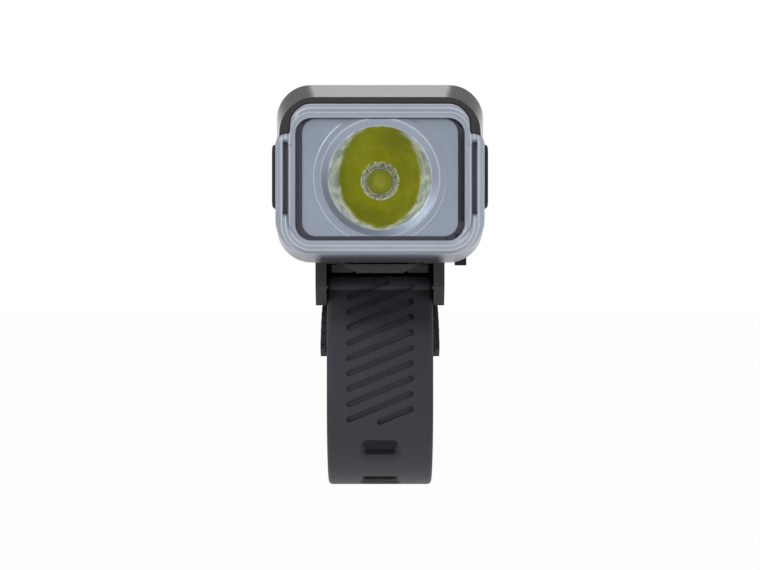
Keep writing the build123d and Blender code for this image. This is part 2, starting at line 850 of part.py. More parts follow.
def led_emitter():
    """The emitter's square base."""
    half = emitter_side / 2
    return block(-half, half, emitter_front_y, led_board_front_y, lens_axis_z - half, lens_axis_z + half)


def led_dome():
    """The emitter's clear dome."""
    ball = Location((0, emitter_front_y, lens_axis_z)) * Sphere(dome_radius)
    return ball & block(-lamp_width, lamp_width, -lamp_front, emitter_front_y, 0, lamp_top_z)


def led_board():
    disc = Location((0, lens_axis_z)) * Circle(led_board_radius)
    return front_slab(disc, led_board_front_y, led_board_rear_y)


# Heat sink: a plate across the housing, with a finned flange under the top shell.
sink_thickness = 3.2
sink_flange_length = 12.0
sink_flange_thickness = 2.4
sink_flange_half = 11.6
sink_fin_count = 6
sink_fin_width = 1.2
sink_fin_height = 3.6
sink_rear_y = led_board_rear_y + sink_thickness


def heat_sink():
    inset = shell_wall + slide_clearance
    plate_face = rounded_rectangle(
        lamp_width - 2 * inset,
        floor_z + inset,
        lamp_top_z - inset,
        shell_corner_radius - inset,
        shell_corner_radius - inset,
    )
    sink = front_slab(plate_face, led_board_rear_y, sink_rear_y)
    top = lamp_top_z - inset
    low = top - sink_flange_thickness
    rear = sink_rear_y + sink_flange_length
    sink += block(-sink_flange_half, sink_flange_half, sink_rear_y - overrun, rear, low, top)
    pitch = (2 * sink_flange_half - sink_fin_width) / (sink_fin_count - 1)
    for index in range(sink_fin_count):
        left = -sink_flange_half + index * pitch
        fin = block(
            left,
            left + sink_fin_width,
            sink_rear_y - overrun,
            rear,
            low - sink_fin_height,
            low + fit_gap,
        )
        sink += fin
    return one_solid(sink)


# Cell, its cradle and its tabs
cradle_wall = 1.1
cradle_end_thickness = 1.2
tab_thickness = 0.3
tab_width = 6.0
cell_terminal_radius = 3.0
cell_terminal_height = 0.8

cell_axis_z = floor_z + shell_wall + cell_radius + fit_gap + cradle_wall
cradle_foot_gap = 0.25
cradle_front_y = sink_rear_y + part_gap
cell_front_y = cradle_front_y + cradle_end_thickness + tab_thickness
cell_rear_y = cell_front_y + cell_length
cradle_rear_y = cell_rear_y + tab_thickness + cradle_end_thickness


def battery_cell():
    """Round cell with its raised front terminal."""
    body_front = cell_front_y + cell_terminal_height
    body = rod_along_y(0, cell_axis_z, body_front, cell_rear_y, cell_radius)
    body = fillet(body.edges(), cell_terminal_height)
    return one_solid(
        body + rod_along_y(0, cell_axis_z, cell_front_y, cell_rear_y - overrun, cell_terminal_radius)
    )


def battery_cradle():
    """Half-pipe under the cell, with an end wall at each end that the board rests on."""
    outer = cell_radius + fit_gap + cradle_wall
    pipe = rod_along_y(0, cell_axis_z, cradle_front_y, cradle_rear_y, outer)
    ends = block(-outer, outer, cradle_front_y, cradle_rear_y, cell_axis_z - cell_radius / 2, split_z)
    foot_z = floor_z + shell_wall + cradle_foot_gap
    cradle = pipe & block(-outer, outer, cradle_front_y, cradle_rear_y, foot_z, cell_axis_z)
    cradle += ends
    inner_front = cradle_front_y + cradle_end_thickness
    inner_rear = cradle_rear_y - cradle_end_thickness
    cradle -= rod_along_y(0, cell_axis_z, inner_front, inner_rear, cell_radius + fit_gap)
    half = cell_radius + fit_gap
    cradle -= block(-half, half, inner_front, inner_rear, cell_axis_z, split_z + overrun)
    cradle -= block(-lamp_width, lamp_width, inner_front, inner_rear, cell_axis_z, split_z + overrun)
    return one_solid(cradle)


def battery_tabs():
    """Nickel strips from the cell's ends up to the board."""
    half = tab_width / 2
    low_z = cell_axis_z - cell_terminal_radius
    front = block(-half, half, cell_front_y - tab_thickness, cell_front_y, low_z, split_z)
    rear = block(-half, half, cell_rear_y, cell_rear_y + tab_thickness, low_z, split_z)
    return Compound(children=[front, rear])


# Screw posts of the housing
post_radius = 2.5
post_x = 15.6
post_front_y = -27.8
post_rear_y = 36.8
housing_screw_radius = 1.0
housing_head_radius = 1.8
housing_head_height = 1.5
housing_head_recess = 0.5
housing_screw_length = 28.6
post_places = [(x, y) for x in (-post_x, post_x) for y in (post_front_y, post_rear_y)]
screw_head_z = floor_z + housing_head_recess
boss_radius = 2.3
boss_height = 1.0


def housing_screw(x, y):
    """A pan-head screw from below."""
    head = upright_rod(x, y, screw_head_z, screw_head_z + housing_head_height, housing_head_radius)
    shank = upright_rod(
        x,
        y,
        screw_head_z,
        screw_head_z + housing_head_height + housing_screw_length,
        housing_screw_radius,
    )
    return head + shank


def housing_screws():
    screws = []
    for x, y in post_places:
        socket = upright_rod(x, y, screw_head_z, screw_head_z + screw_socket_depth, screw_socket_radius)
        screws.append(one_solid(housing_screw(x, y) - socket))
    return Compound(children=screws)


# Boards and the switch
board_thickness = 1.6
board_half_width = 14.3
button_y = -8.0
switch_side = 6.0
switch_body_height = 3.2
switch_plunger_radius = 1.7
switch_plunger_height = 1.0
button_travel = 0.6
button_length = 14.6
button_width = 8.8
button_proud = 0.6
button_flange = 1.2
button_flange_thickness = 1.1
button_stem_radius = 2.0
button_dish_radius = 18.0
button_dish_depth = 0.25
chip_side = 7.0
chip_height = 1.1
coil_radius = 3.4
coil_height = 3.4
board_top_z = split_z + board_thickness
switch_top_z = board_top_z + switch_body_height + switch_plunger_height
button_top_z = lamp_top_z + button_proud


def main_board():
    """Driver board with a chip and a coil, notched round the screw posts."""
    board = block(-board_half_width, board_half_width, cradle_front_y, cradle_rear_y, split_z, board_top_z)
    for x, y in post_places:
        board -= upright_rod(x, y, split_z - overrun, board_top_z + overrun, post_radius + part_gap)
    chip_y = button_y + 2 * switch_side
    chip = block(
        -chip_side / 2,
        chip_side / 2,
        chip_y,
        chip_y + chip_side,
        board_top_z - fit_gap,
        board_top_z + chip_height,
    )
    coil = upright_rod(
        0,
        chip_y + 2 * chip_side,
        board_top_z - fit_gap,
        board_top_z + coil_height,
        coil_radius,
    )
    return one_solid(board + chip + coil)


def tact_switch():
    half = switch_side / 2
    body = block(-half, half, button_y - half, button_y + half, board_top_z, board_top_z + switch_body_height)
    return body + upright_rod(0, button_y, board_top_z, switch_top_z, switch_plunger_radius)


def button_outline(grow):
    """The button's stadium shape, seen from above, with its long side along Y."""
    length = button_length + 2 * grow
    width = button_width + 2 * grow
    return Location((0, button_y)) * SlotOverall(length, width, rotation=90)


def power_button():
    """Dished button with a flange under the top shell and a stem above the switch."""
    flange_top = lamp_top_z - shell_wall - slide_clearance
    cap = extrude(Plane.XY.offset(flange_top) * button_outline(0), amount=button_top_z - flange_top)
    top_edges = cap.faces().sort_by(Axis.Z)[-1].edges()
    cap = fillet(top_edges, button_proud)
    flange_plane = Plane.XY.offset(flange_top - button_flange_thickness)
    cap += extrude(flange_plane * button_outline(button_flange), amount=button_flange_thickness)
    ball_z = button_top_z - button_dish_depth + button_dish_radius
    cap -= Location((0, button_y, ball_z)) * Sphere(button_dish_radius)
    stem_z = switch_top_z + button_travel + fit_gap
    cap += upright_rod(0, button_y, stem_z, flange_top, button_stem_radius)
    return one_solid(cap)


# Light pipe behind the button
pipe_y = 4.4
pipe_length = 7.0
pipe_width = 2.0
pipe_flange = 0.8
pipe_depth = 3.0


def pipe_outline(grow):
    """The light pipe's outline, seen from above."""
    return Location((0, pipe_y)) * SlotOverall(pipe_length + 2 * grow, pipe_width + 2 * grow)


def indicator_window():
    low = lamp_top_z - shell_wall
    stem = extrude(Plane.XY.offset(low - pipe_depth) * pipe_outline(0), amount=pipe_depth + shell_wall)
    flange = extrude(Plane.XY.offset(low - pipe_flange) * pipe_outline(pipe_flange), amount=pipe_flange)
    return one_solid(stem + flange)


# Charging port under the lamp's right corner, with a rubber flap that swings outward
port_x = 16.1
port_y = 26.0
port_length = 9.0
port_thickness = 3.2
port_depth = 7.2
port_wall = 0.35
port_tongue_thickness = 0.7
port_hole_gap = 0.7
port_board_thickness = 1.0
port_board_half = 6.0
cover_inner_x = 12.6
cover_outer_x = 19.6
cover_half_length = 6.4
cover_thickness = 1.2
cover_outer_gap = 1.0
plug_half_length = 4.2
plug_half_width = 1.4
pull_tab_half = 2.4
pull_tab_outer_x = 21.0
pull_tab_inner_x = 18.3
pull_tab_drop = 1.5
port_hole_z = floor_z + shell_corner_radius
port_inset = 0.8
port_low_z = floor_z + shell_wall + port_inset


def cover_layer(gap, inset):
    """The outer layer of the housing where the port's flap lies."""
    layer = body_envelope(0) - body_envelope(inset)
    low_x = cover_inner_x - gap
    high_x = cover_outer_x + gap
    if gap > 0:
        high_x = cover_outer_x + cover_outer_gap
    return layer & block(
        low_x,
        high_x,
        port_y - cover_half_length - gap,
        port_y + cover_half_length + gap,
        floor_z - overrun,
        port_hole_z,
    )


def port_cover():
    """Rubber flap that follows the housing's corner, with a plug above and a pull tab outside."""
    flap = cover_layer(0, cover_thickness)
    plug_top = port_low_z - fit_gap
    plug = block(
        port_x - plug_half_width,
        port_x + plug_half_width,
        port_y - plug_half_length,
        port_y + plug_half_length,
        floor_z + cover_thickness / 2,
        plug_top,
    )
    corner_z = floor_z + shell_corner_radius
    surface = [
        corner_z - sqrt(shell_corner_radius**2 - (x - half_lamp + shell_corner_radius) ** 2)
        for x in (pull_tab_inner_x, cover_outer_x)
    ]
    tab_low_z = floor_z - pull_tab_drop
    outline = Polyline(
        (pull_tab_inner_x, surface[0] + cover_thickness / 2),
        (pull_tab_inner_x, tab_low_z),
        (pull_tab_outer_x, tab_low_z),
        (pull_tab_outer_x, surface[0]),
        (cover_outer_x, surface[1]),
        close=True,
    )
    tab = front_slab(make_face(outline), port_y - pull_tab_half, port_y + pull_tab_half)
    return one_solid(flap + plug + tab)


def usb_port():
    """Receptacle with its shell open below and a tongue inside."""
    half_x = port_thickness / 2
    half_y = port_length / 2
    top = port_low_z + port_depth
    shell = block(port_x - half_x, port_x + half_x, port_y - half_y, port_y + half_y, port_low_z, top)
    inner_x = half_x - port_wall
    inner_y = half_y - port_wall
    low = port_low_z - overrun
    shell -= block(
        port_x - inner_x,
        port_x + inner_x,
        port_y - inner_y,
        port_y + inner_y,
        low,
        top - port_wall,
    )
    tongue_x = port_tongue_thickness / 2
    tongue_y = inner_y - 2 * port_wall
    shell += block(
        port_x - tongue_x, port_x + tongue_x, port_y - tongue_y, port_y + tongue_y, port_low_z + overrun, top - port_wall / 2
    )
    return one_solid(shell)


def port_board():
    """Upright board that carries the receptacle and meets the main board above."""
    rear_x = port_x - port_thickness / 2
    low_z = port_low_z + overrun
    return block(
        rear_x - port_board_thickness, rear_x, port_y - port_board_half, port_y + port_board_half, low_z, split_z
    )


# Rubber pads on the lamp's sides
grip_front_y = -40.0
grip_rear_y = 14.0
grip_height = 13.3
grip_proud = 1.3
grip_sink = 0.8
grip_corner_radius = 2.2
grip_edge_round = 0.6
grip_rib_count = 9
grip_rib_width = 1.2
grip_rib_depth = 0.5
grip_rib_lean = 25


def grip_outline(grow):
    """Side view of a pad."""
    middle = ((grip_front_y + grip_rear_y) / 2, split_z - part_gap - grip_height / 2)
    length = grip_rear_y - grip_front_y
    return Location(middle) * RectangleRounded(
        length + 2 * grow,
        grip_height + 2 * grow,
        grip_corner_radius + grow,
    )


def side_grip(side):
    """One pad with slanted grooves across its face."""
    thickness = grip_proud + grip_sink
    middle_x = side * (half_lamp + grip_proud - thickness / 2)
    pad = side_slab(grip_outline(0), thickness / 2, middle_x)
    outer_face = pad.faces().sort_by(Axis.X)[-1 if side > 0 else 0]
    pad = fillet(outer_face.edges(), grip_edge_round)
    pitch = (grip_rear_y - grip_front_y) / (grip_rib_count + 1)
    face_x = side * (half_lamp + grip_proud)
    middle_z = split_z - part_gap - grip_height / 2
    for index in range(grip_rib_count):
        y = grip_front_y + (index + 1) * pitch
        bar = Box(2 * grip_rib_depth, grip_rib_width, grip_height - 2 * grip_corner_radius)
        pad -= Location((face_x, y, middle_z)) * Rotation(grip_rib_lean, 0, 0) * bar
    return one_solid(pad)


# Seal between the shells
seal_inset = 1.0
seal_width = 0.5
seal_height = 1.0


def shell_seal():
    """Thin rubber ring in the joint between the two shells, seen from above as a rounded frame."""
    front_y = body_front_y + seal_inset
    rear_y = lamp_rear - seal_inset
    middle_y = (front_y + rear_y) / 2
    outer = RectangleRounded(lamp_width - 2 * seal_inset, rear_y - front_y, rear_round - seal_inset)
    ring = Location((0, middle_y)) * (outer - offset(outer, amount=-seal_width))
    return extrude(Plane.XY.offset(split_z - seal_height / 2) * ring, amount=seal_height)


# Top shell: hood, cooling grooves, button opening
hood_front_y = -51.0
hood_length = 7.0
hood_lip = 1.3
hood_side_draw = 0.9
hood_front_radius = 7.2
cooling_groove_count = 5
cooling_groove_width = 1.5
cooling_groove_depth = 0.8
cooling_groove_length = 24.0
cooling_groove_pitch = 3.6
cooling_first_y = -38.0


def hood():
    """Sloped hood that wraps round the top and upper sides of the lens."""
    front = rounded_rectangle(
        lamp_width - 2 * hood_side_draw, lens_axis_z, lens_top_z + hood_lip, bezel_corner_radius, hood_front_radius
    )
    back = rounded_rectangle(lamp_width, lens_axis_z, lamp_top_z, bezel_corner_radius, shell_corner_radius)
    front_plane = Plane.XZ.offset(-hood_front_y)
    solid = loft([front_plane * front, front_plane.offset(-hood_length) * back], ruled=True)
    solid += front_slab(back, hood_front_y + hood_length, body_front_y)
    solid -= front_slab(
        lens_outline(lens_skirt_z, slide_clearance),
        -lamp_front - overrun,
        body_front_y + overrun,
    )
    return solid & block(-lamp_width, lamp_width, -2 * lamp_front, body_front_y, split_z, 2 * lamp_top_z)


def top_shell():
    upper = block(-lamp_width, lamp_width, -2 * lamp_front, 2 * lamp_rear, split_z, 2 * lamp_top_z)
    shell = (hollow_body() & upper) + hood()
    for x, y in post_places:
        shell += upright_rod(x, y, split_z, lamp_top_z, post_radius) & body_envelope(fit_gap)
    for x, y in post_places:
        shell -= housing_screw(x, y)
    hole_plane = Plane.XY.offset(lamp_top_z - shell_wall - overrun)
    hole_depth = shell_wall + 2 * overrun
    shell -= extrude(hole_plane * button_outline(slide_clearance), amount=hole_depth)
    shell -= extrude(hole_plane * pipe_outline(0), amount=hole_depth)
    for index in range(cooling_groove_count):
        y = cooling_first_y + index * cooling_groove_pitch
        groove = Location((0, y)) * SlotOverall(cooling_groove_length, cooling_groove_width)
        shell -= extrude(Plane.XY.offset(lamp_top_z - cooling_groove_depth) * groove, amount=overrun)
    return one_solid(shell - shell_seal())


def bottom_shell():
    lower = block(-lamp_width, lamp_width, -2 * lamp_front, 2 * lamp_rear, 0, split_z)
    shell = hollow_body() & lower
    for x, y in post_places:
        post = upright_rod(x, y, floor_z, split_z, post_radius)
        shell += post & body_envelope(fit_gap)
    for x, y in shoe_screw_places:
        shell += upright_rod(x, y, floor_z + fit_gap, floor_z + shell_wall + boss_height, boss_radius)
    for x, y in post_places:
        shell -= housing_screw(x, y)
        shell -= upright_rod(x, y, floor_z - overrun, screw_head_z + fit_gap, housing_head_radius)
    for x, y in shoe_screw_places:
        shell -= countersunk_screw(x, y, 0)
    shell -= cover_layer(part_gap, cover_thickness + fit_gap)
    hole_x = port_thickness / 2 + port_hole_gap
    hole_y = port_length / 2 + port_hole_gap
    shell -= block(port_x - hole_x, port_x + hole_x, port_y - hole_y, port_y + hole_y, 0, port_hole_z)
    thickness = grip_proud + grip_sink
    for side in (-1, 1):
        shell -= side_slab(grip_outline(0), thickness / 2, side * (half_lamp + grip_proud - thickness / 2))
    return one_solid(shell - shell_seal())


def build_all():
    """Write every node of the part."""
    save("bracket_body", bracket_body())
    save("saddle_pad", saddle_pad())
    save("strap_pin", strap_pin())
    front, rear, tail = strap_pieces()
    save("strap_front", front)
    save("strap_rear", rear)
    save("strap_tail", tail)
    save("mount_shoe", mount_shoe())
    save("shoe_screws", shoe_screws())
    save("release_lever", release_lever())
    save("lever_pin", lever_pin())
    save("lens_cover", lens_cover())
    save("lens_gasket", lens_gasket())
    save("reflector", reflector())
    save("led_emitter", led_emitter())
    save("led_dome", led_dome())
    save("led_board", led_board())
    save("heat_sink", heat_sink())
    save("battery_cell", battery_cell())
    save("battery_cradle", battery_cradle())
    save("battery_tabs", battery_tabs())
    save("main_board", main_board())
    save("tact_switch", tact_switch())
    save("power_button", power_button())
    save("indicator_window", indicator_window())
    save("port_board", port_board())
    save("usb_port", usb_port())
    save("port_cover", port_cover())
    save("side_grip_left", side_grip(-1))
    save("side_grip_right", side_grip(1))
    save("shell_seal", shell_seal())
    save("housing_screws", housing_screws())
    save("bottom_shell", bottom_shell())
    save("top_shell", top_shell())


build_all()
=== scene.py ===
import bpy
import math
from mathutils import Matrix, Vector


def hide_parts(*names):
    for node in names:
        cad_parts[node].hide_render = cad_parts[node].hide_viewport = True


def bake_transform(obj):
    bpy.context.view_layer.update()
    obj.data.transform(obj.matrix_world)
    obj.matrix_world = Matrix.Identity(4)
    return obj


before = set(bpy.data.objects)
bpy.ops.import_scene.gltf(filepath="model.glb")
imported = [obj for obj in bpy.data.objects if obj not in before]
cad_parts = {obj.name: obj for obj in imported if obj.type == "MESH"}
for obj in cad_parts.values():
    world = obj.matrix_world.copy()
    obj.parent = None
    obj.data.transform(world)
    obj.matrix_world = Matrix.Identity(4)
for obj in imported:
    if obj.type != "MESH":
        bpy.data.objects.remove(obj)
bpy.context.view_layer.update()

# Sizes in metres, as in the part's source
lens_axis_z = 0.0469
window_middle_z = 0.0465
lens_face_y = -0.052
window_half_width = 0.0171
window_half_height = 0.0124
window_corner = 0.0034
bowl_rim_radius = 0.0104
strap_bottom_z = -0.0203
floor_z = -0.075
strap_cut_y = 0.0104
strap_rear_hinge_angle = 17
strap_skin_radius = 0.0200
camera_distance = 0.402
camera_height = 0.0253
camera_lens = 82.9

# Where the marks of the lens and the bowl lie, painted highlights, shade and reflections among them, in
# metres
ridge_pitch = 0.00085
ridge_inner_edge = 0.0002
ridge_outer_edge = 0.0034
ridge_depth = 0.0012
skirt_low_z = 0.0298
skirt_high_z = 0.0326
skirt_shadow_half = 0.0125
slit_inner_x = 0.0185
slit_outer_x = 0.0194
slit_low_z = 0.0391
slit_high_z = 0.0544
cone_radius = 0.0118
fine_ring_radii = (0.0120, 0.0134)
fine_ring_half = 0.0001
phosphor_reflection_half_width = 0.0085
phosphor_reflection_half_height = 0.0104
phosphor_reflection_rise = 0.0004
halo_inner_radius = 0.0029
halo_outer_radius = 0.0040
phosphor_radius = 0.0025
dome_radius = 0.0026

# Joining the strap's solids into one skin, in metres and degrees
seam_reach = 0.00002
seam_squareness = 0.98
weld_reach = 0.000012
smooth_angle = 32

# Shares of light and whiteness
room_light = 0.42
floor_glow = 0.97


class Wire:
    """One output of a node, whose arithmetic adds Math nodes."""

    def __init__(self, nodes, socket):
        self.nodes = nodes
        self.socket = socket

    def math(self, operation, *others):
        values = {0: self}
        values.update({place + 1: other for place, other in enumerate(others)})
        return self.nodes.add("ShaderNodeMath", {"operation": operation}, values)

    def __add__(self, other):
        return self.math("ADD", other)

    def __sub__(self, other):
        return self.math("SUBTRACT", other)

    def __rsub__(self, other):
        return self.math("MULTIPLY_ADD", -1, other)

    def __mul__(self, other):
        return self.math("MULTIPLY", other)

    def __truediv__(self, other):
        return self.math("DIVIDE", other)

    def __pow__(self, other):
        return self.math("POWER", other)

    def __abs__(self):
        return self.math("ABSOLUTE")

    __radd__ = __add__

    def root(self):
        return self.math("SQRT")

    def wave(self):
        """Sine, moved into 0 to 1."""
        return self.math("SINE") * 0.5 + 0.5

    def at_least(self, other):
        return self.math("MAXIMUM", other)

    def at_most(self, other):
        return self.math("MINIMUM", other)

    def rise(self, start, end):
        """0 before start, 1 after end, and smooth between them."""
        settings = {"interpolation_type": "SMOOTHSTEP"}
        return self.nodes.add("ShaderNodeMapRange", settings, {0: self, 1: start, 2: end})

    def band(self, low, high, soft):
        """1 between two values, with soft ends."""
        return self.rise(low - soft, low + soft) * (1 - self.rise(high - soft, high + soft))


class Nodes:
    """The nodes of a material or of the world."""

    def __init__(self, tree):
        self.tree = tree

    def add(self, kind, settings=None, values=None, output=0):
        node = self.tree.nodes.new(kind)
        for name, value in (settings or {}).items():
            setattr(node, name, value)
        for socket, value in (values or {}).items():
            self.feed(node.inputs[socket], value)
        return Wire(self, node.outputs[output])

    def feed(self, socket, value):
        if isinstance(value, Wire):
            self.tree.links.new(value.socket, socket)
        else:
            socket.default_value = value

    def split(self, place):
        first = self.add("ShaderNodeSeparateXYZ", values={0: place})
        return [Wire(self, output) for output in first.socket.node.outputs]

    def light_path(self, name):
        return self.add("ShaderNodeLightPath", output=name)


class Finish(Nodes):
    """A material that is worked out from the piece's own coordinates."""

    def __init__(self, name):
        self.material = bpy.data.materials.new(name)
        self.material.use_nodes = True
        super().__init__(self.material.node_tree)
        self.shader = self.tree.nodes["Principled BSDF"]
        self.place = self.add("ShaderNodeTexCoord", output="Object")
        self.x, self.y, self.z = self.split(self.place)
        self.height = None

    def give(self, **values):
        for name, value in values.items():
            self.feed(self.shader.inputs[name.replace("_", " ").title().replace("Ior", "IOR")], value)

    def noise(self, scale, detail=3.0, stretch=(1, 1, 1)):
        place = self.add("ShaderNodeMapping", values={"Vector": self.place, "Scale": stretch})
        return self.add("ShaderNodeTexNoise", None, {"Vector": place, "Scale": scale, "Detail": detail})

    def cells(self, scale):
        return self.add("ShaderNodeTexVoronoi", None, {"Vector": self.place, "Scale": scale})

    def tint(self, amount, first, second):
        colours = {0: amount, 6: self.colour(first), 7: self.colour(second)}
        return self.add("ShaderNodeMix", {"data_type": "RGBA"}, colours, output=2)

    def colour(self, value):
        return value if isinstance(value, Wire) else (*value[:3], 1.0)

    def raised(self, height):
        """Adds a height in millimetres to the surface's relief."""
        self.height = height if self.height is None else self.height + height

    def finish(self):
        if self.height is not None:
            relief = {"Strength": 1.0, "Distance": 0.001, "Height": self.height}
            self.give(normal=self.add("ShaderNodeBump", None, relief, output="Normal"))
        return self

    def window_distance(self, half_width, half_height, corner):
        """Distance from a rounded rectangle round the lens axis, negative inside it."""
        out_x = abs(self.x) - (half_width - corner)
        out_z = abs(self.z - window_middle_z) - (half_height - corner)
        side_x = out_x.at_least(0)
        side_z = out_z.at_least(0)
        outside = (side_x * side_x + side_z * side_z).root()
        return outside + out_x.math("MAXIMUM", out_z).at_most(0) - corner

    def axis_distance(self):
        height = self.z - lens_axis_z
        return (self.x * self.x + height * height).root()


def darker(colour, share):
    return tuple(part * share for part in colour[:3])


def moulded(name, colour, roughness, grain_scale, grain_height, specular=0.5):
    """Moulded plastic: an even colour with faint flow marks, fine grain and small changes of gloss."""
    finish = Finish(name)
    flow = finish.noise(90, 4, (1, 0.4, 1))
    grain = finish.noise(grain_scale, 2)
    dust = finish.noise(2600, 1).rise(0.68, 0.8)
    body = finish.tint(flow, darker(colour, 0.86), darker(colour, 1.14))
    finish.give(base_color=finish.tint(dust * 0.12, body, darker(colour, 2.2)))
    finish.give(roughness=(flow - 0.5) * 0.10 + (grain - 0.5) * 0.12 + roughness)
    finish.give(specular_ior_level=specular)
    finish.raised(grain * grain_height)
    return finish


def rubbery(name, colour, roughness):
    """Soft rubber: dull, slightly dusty, with a fine pebbled skin."""
    finish = moulded(name, colour, roughness, 2400, 0.012, 0.35)
    pebble = finish.cells(3800)
    finish.raised(pebble * 0.006)
    finish.give(sheen_weight=0.08, sheen_roughness=0.5)
    return finish


def metal(name, colour, roughness, stretch, scratch=0.004):
    """Bare or plated metal with the fine lines of rolling or turning."""
    finish = Finish(name)
    lines = finish.noise(1500, 3, stretch)
    cloud = finish.noise(120, 3)
    finish.give(metallic=1.0)
    finish.give(base_color=finish.tint(cloud, darker(colour, 0.88), colour))
    finish.give(roughness=(lines - 0.5) * 0.16 + (cloud - 0.5) * 0.08 + roughness)
    finish.raised(lines * scratch)
    return finish


def frosted_lens():
    """Clear window inside a frosted frame with fine ridges round it and a dark slit down each ear; the
    ridges carry painted highlights, the skirt has painted shade low down, and a painted shadow lies under
    the lens.
    """
    finish = Finish("frosted lens moulding")
    edge = finish.window_distance(window_half_width, window_half_height, window_corner)
    frost = edge.rise(-0.0003, 0.0)
    grain = finish.noise(3000, 2)
    cloud = finish.noise(140, 3)
    ridge = (edge * (2 * math.pi / ridge_pitch) + 0.8).wave() ** 5
    ridge = ridge * edge.band(ridge_inner_edge, ridge_outer_edge, 0.0001)
    front = 1 - finish.y.rise(lens_face_y + ridge_depth, lens_face_y + ridge_depth + 0.001)
    body = finish.tint(cloud, (0.26, 0.30, 0.365), (0.35, 0.39, 0.47))
    # Painted highlight: the ridge crests on the front face are painted pale.
    body = finish.tint(ridge * front * 0.75, body, (0.66, 0.68, 0.74))
    low = 1 - finish.z.rise(skirt_low_z, skirt_high_z)
    # Painted shade: the skirt's lower band is darkened; the same band is also made more see-through.
    body = finish.tint(low * 0.6, body, (0.17, 0.18, 0.21))
    # Painted shadow: the middle of the skirt under the lens is painted near black, duller and without coat.
    middle = 1 - abs(finish.x).rise(skirt_shadow_half - 0.001, skirt_shadow_half + 0.001)
    under = middle * (1 - finish.z.rise(0.0305, 0.0320))
    body = finish.tint(under * 0.88, body, (0.035, 0.037, 0.045))
    slit = abs(finish.x).band(slit_inner_x, slit_outer_x, 0.0001)
    slit = slit * finish.z.band(slit_low_z, slit_high_z, 0.0004)
    body = finish.tint(slit * 0.85, body, (0.05, 0.05, 0.06))
    finish.give(base_color=finish.tint(frost, (0.02, 0.02, 0.022), body))
    finish.give(roughness=frost * (0.34 + (grain - 0.5) * 0.2) + 0.03 + under * 0.4)
    finish.give(alpha=frost * 0.93 + 0.05 - low * frost * 0.3)
    finish.give(specular_ior_level=0.6, coat_weight=frost * (1 - under) * 0.25)
    finish.raised(ridge * front * 0.05 + grain * frost * 0.006)
    return finish


def reflector_metal():
    """Bowl with a painted reflection of the emitter's yellow and painted glints round its neck, in a satin
    plate with two fine rings round the bowl that carry painted highlights.
    """
    finish = Finish("metallised reflector")
    radius = finish.axis_distance()
    plate = radius.rise(bowl_rim_radius - 0.0001, bowl_rim_radius + 0.0003)
    cone = radius.band(bowl_rim_radius, cone_radius, 0.0003)
    rings = [
        radius.band(middle - fine_ring_half, middle + fine_ring_half, 0.00008)
        for middle in fine_ring_radii
    ]
    ring = (rings[0] + rings[1]).at_most(1) * plate
    grain = finish.noise(2800, 2)
    cloud = finish.noise(160, 3)
    smear = finish.noise(420, 3)
    satin = finish.tint(cloud, (0.47, 0.54, 0.66), (0.57, 0.65, 0.78))
    satin = finish.tint(cone * 0.7, satin, (0.34, 0.39, 0.48))
    # Painted highlight: the two fine rings are painted near white.
    satin = finish.tint(ring * 0.6, satin, (0.9, 0.93, 1.0))
    # Painted reflection: an oval of the bowl is painted with the phosphor's yellow, and the chrome
    # crescents outside it with a bluish mottle.
    wide = finish.x / phosphor_reflection_half_width
    tall = (finish.z - lens_axis_z - phosphor_reflection_rise) / phosphor_reflection_half_height
    reach = (wide * wide + tall * tall).root() + (smear - 0.5) * 0.14
    yellow = 1 - reach.rise(0.93, 1.04)
    glow = finish.tint(cloud.rise(0.3, 0.7), (0.50, 0.52, 0.02), (0.70, 0.70, 0.03))
    chrome = finish.tint(smear.rise(0.35, 0.65), (0.42, 0.52, 0.64), (0.92, 0.97, 1.0))
    rim = (1 - yellow) * (1 - plate)
    mirror = finish.tint(yellow * 0.93, chrome, glow)
    # Painted glints: a ring round the emitter's neck is painted with white-blue specks.
    halo = radius.band(halo_inner_radius, halo_outer_radius, 0.0002)
    dots = finish.noise(1700, 2).rise(0.38, 0.5)
    spots = finish.tint(dots, (0.16, 0.19, 0.22), (0.96, 1.0, 1.0))
    bowl = finish.tint(halo, mirror, spots)
    # Less metallic in the painted glints and in the painted crescents, so their painted colour shows.
    finish.give(metallic=1 - halo * 0.85 - rim * (1 - halo) * 0.6)
    finish.give(base_color=finish.tint(plate, bowl, satin))
    hollow = (1 - plate) * (0.26 + smear * 0.06)
    finish.give(roughness=plate * (0.36 + (grain - 0.5) * 0.12) + hollow)
    finish.raised(ring * -0.03 + grain * plate * 0.004)
    return finish


def phosphor():
    """Yellow phosphor on white ceramic, with a faint painted glow."""
    finish = Finish("phosphor on ceramic")
    radius = finish.axis_distance()
    grain = finish.noise(5200, 2)
    yellow = finish.tint(grain, (0.60, 0.62, 0.02), (0.80, 0.84, 0.04))
    ceramic = radius.rise(phosphor_radius - 0.0001, phosphor_radius + 0.0001)
    face = finish.tint(ceramic, yellow, (0.75, 0.75, 0.70))
    # Painted glow: the phosphor emits its own yellow faintly.
    finish.give(base_color=face, emission_color=yellow, emission_strength=0.12)
    finish.give(roughness=0.55 + (grain - 0.5) * 0.2)
    finish.raised(grain * 0.01)
    return finish


def silicone_dome():
    """Clear silicone that takes on the phosphor's colour, with a faint painted glow."""
    finish = Finish("silicone dome")
    radius = finish.axis_distance()
    cloud = finish.noise(900, 2)
    body = finish.tint(radius.rise(0.0008, dome_radius), (0.42, 0.42, 0.02), (0.30, 0.32, 0.02))
    # Painted glow: the dome emits its own colour faintly.
    finish.give(base_color=body, emission_color=body, emission_strength=0.12)
    finish.give(roughness=0.04 + cloud * 0.04, alpha=0.55 + radius.rise(0.001, 0.0027) * 0.25)
    finish.give(coat_weight=0.5, coat_roughness=0.03)
    return finish


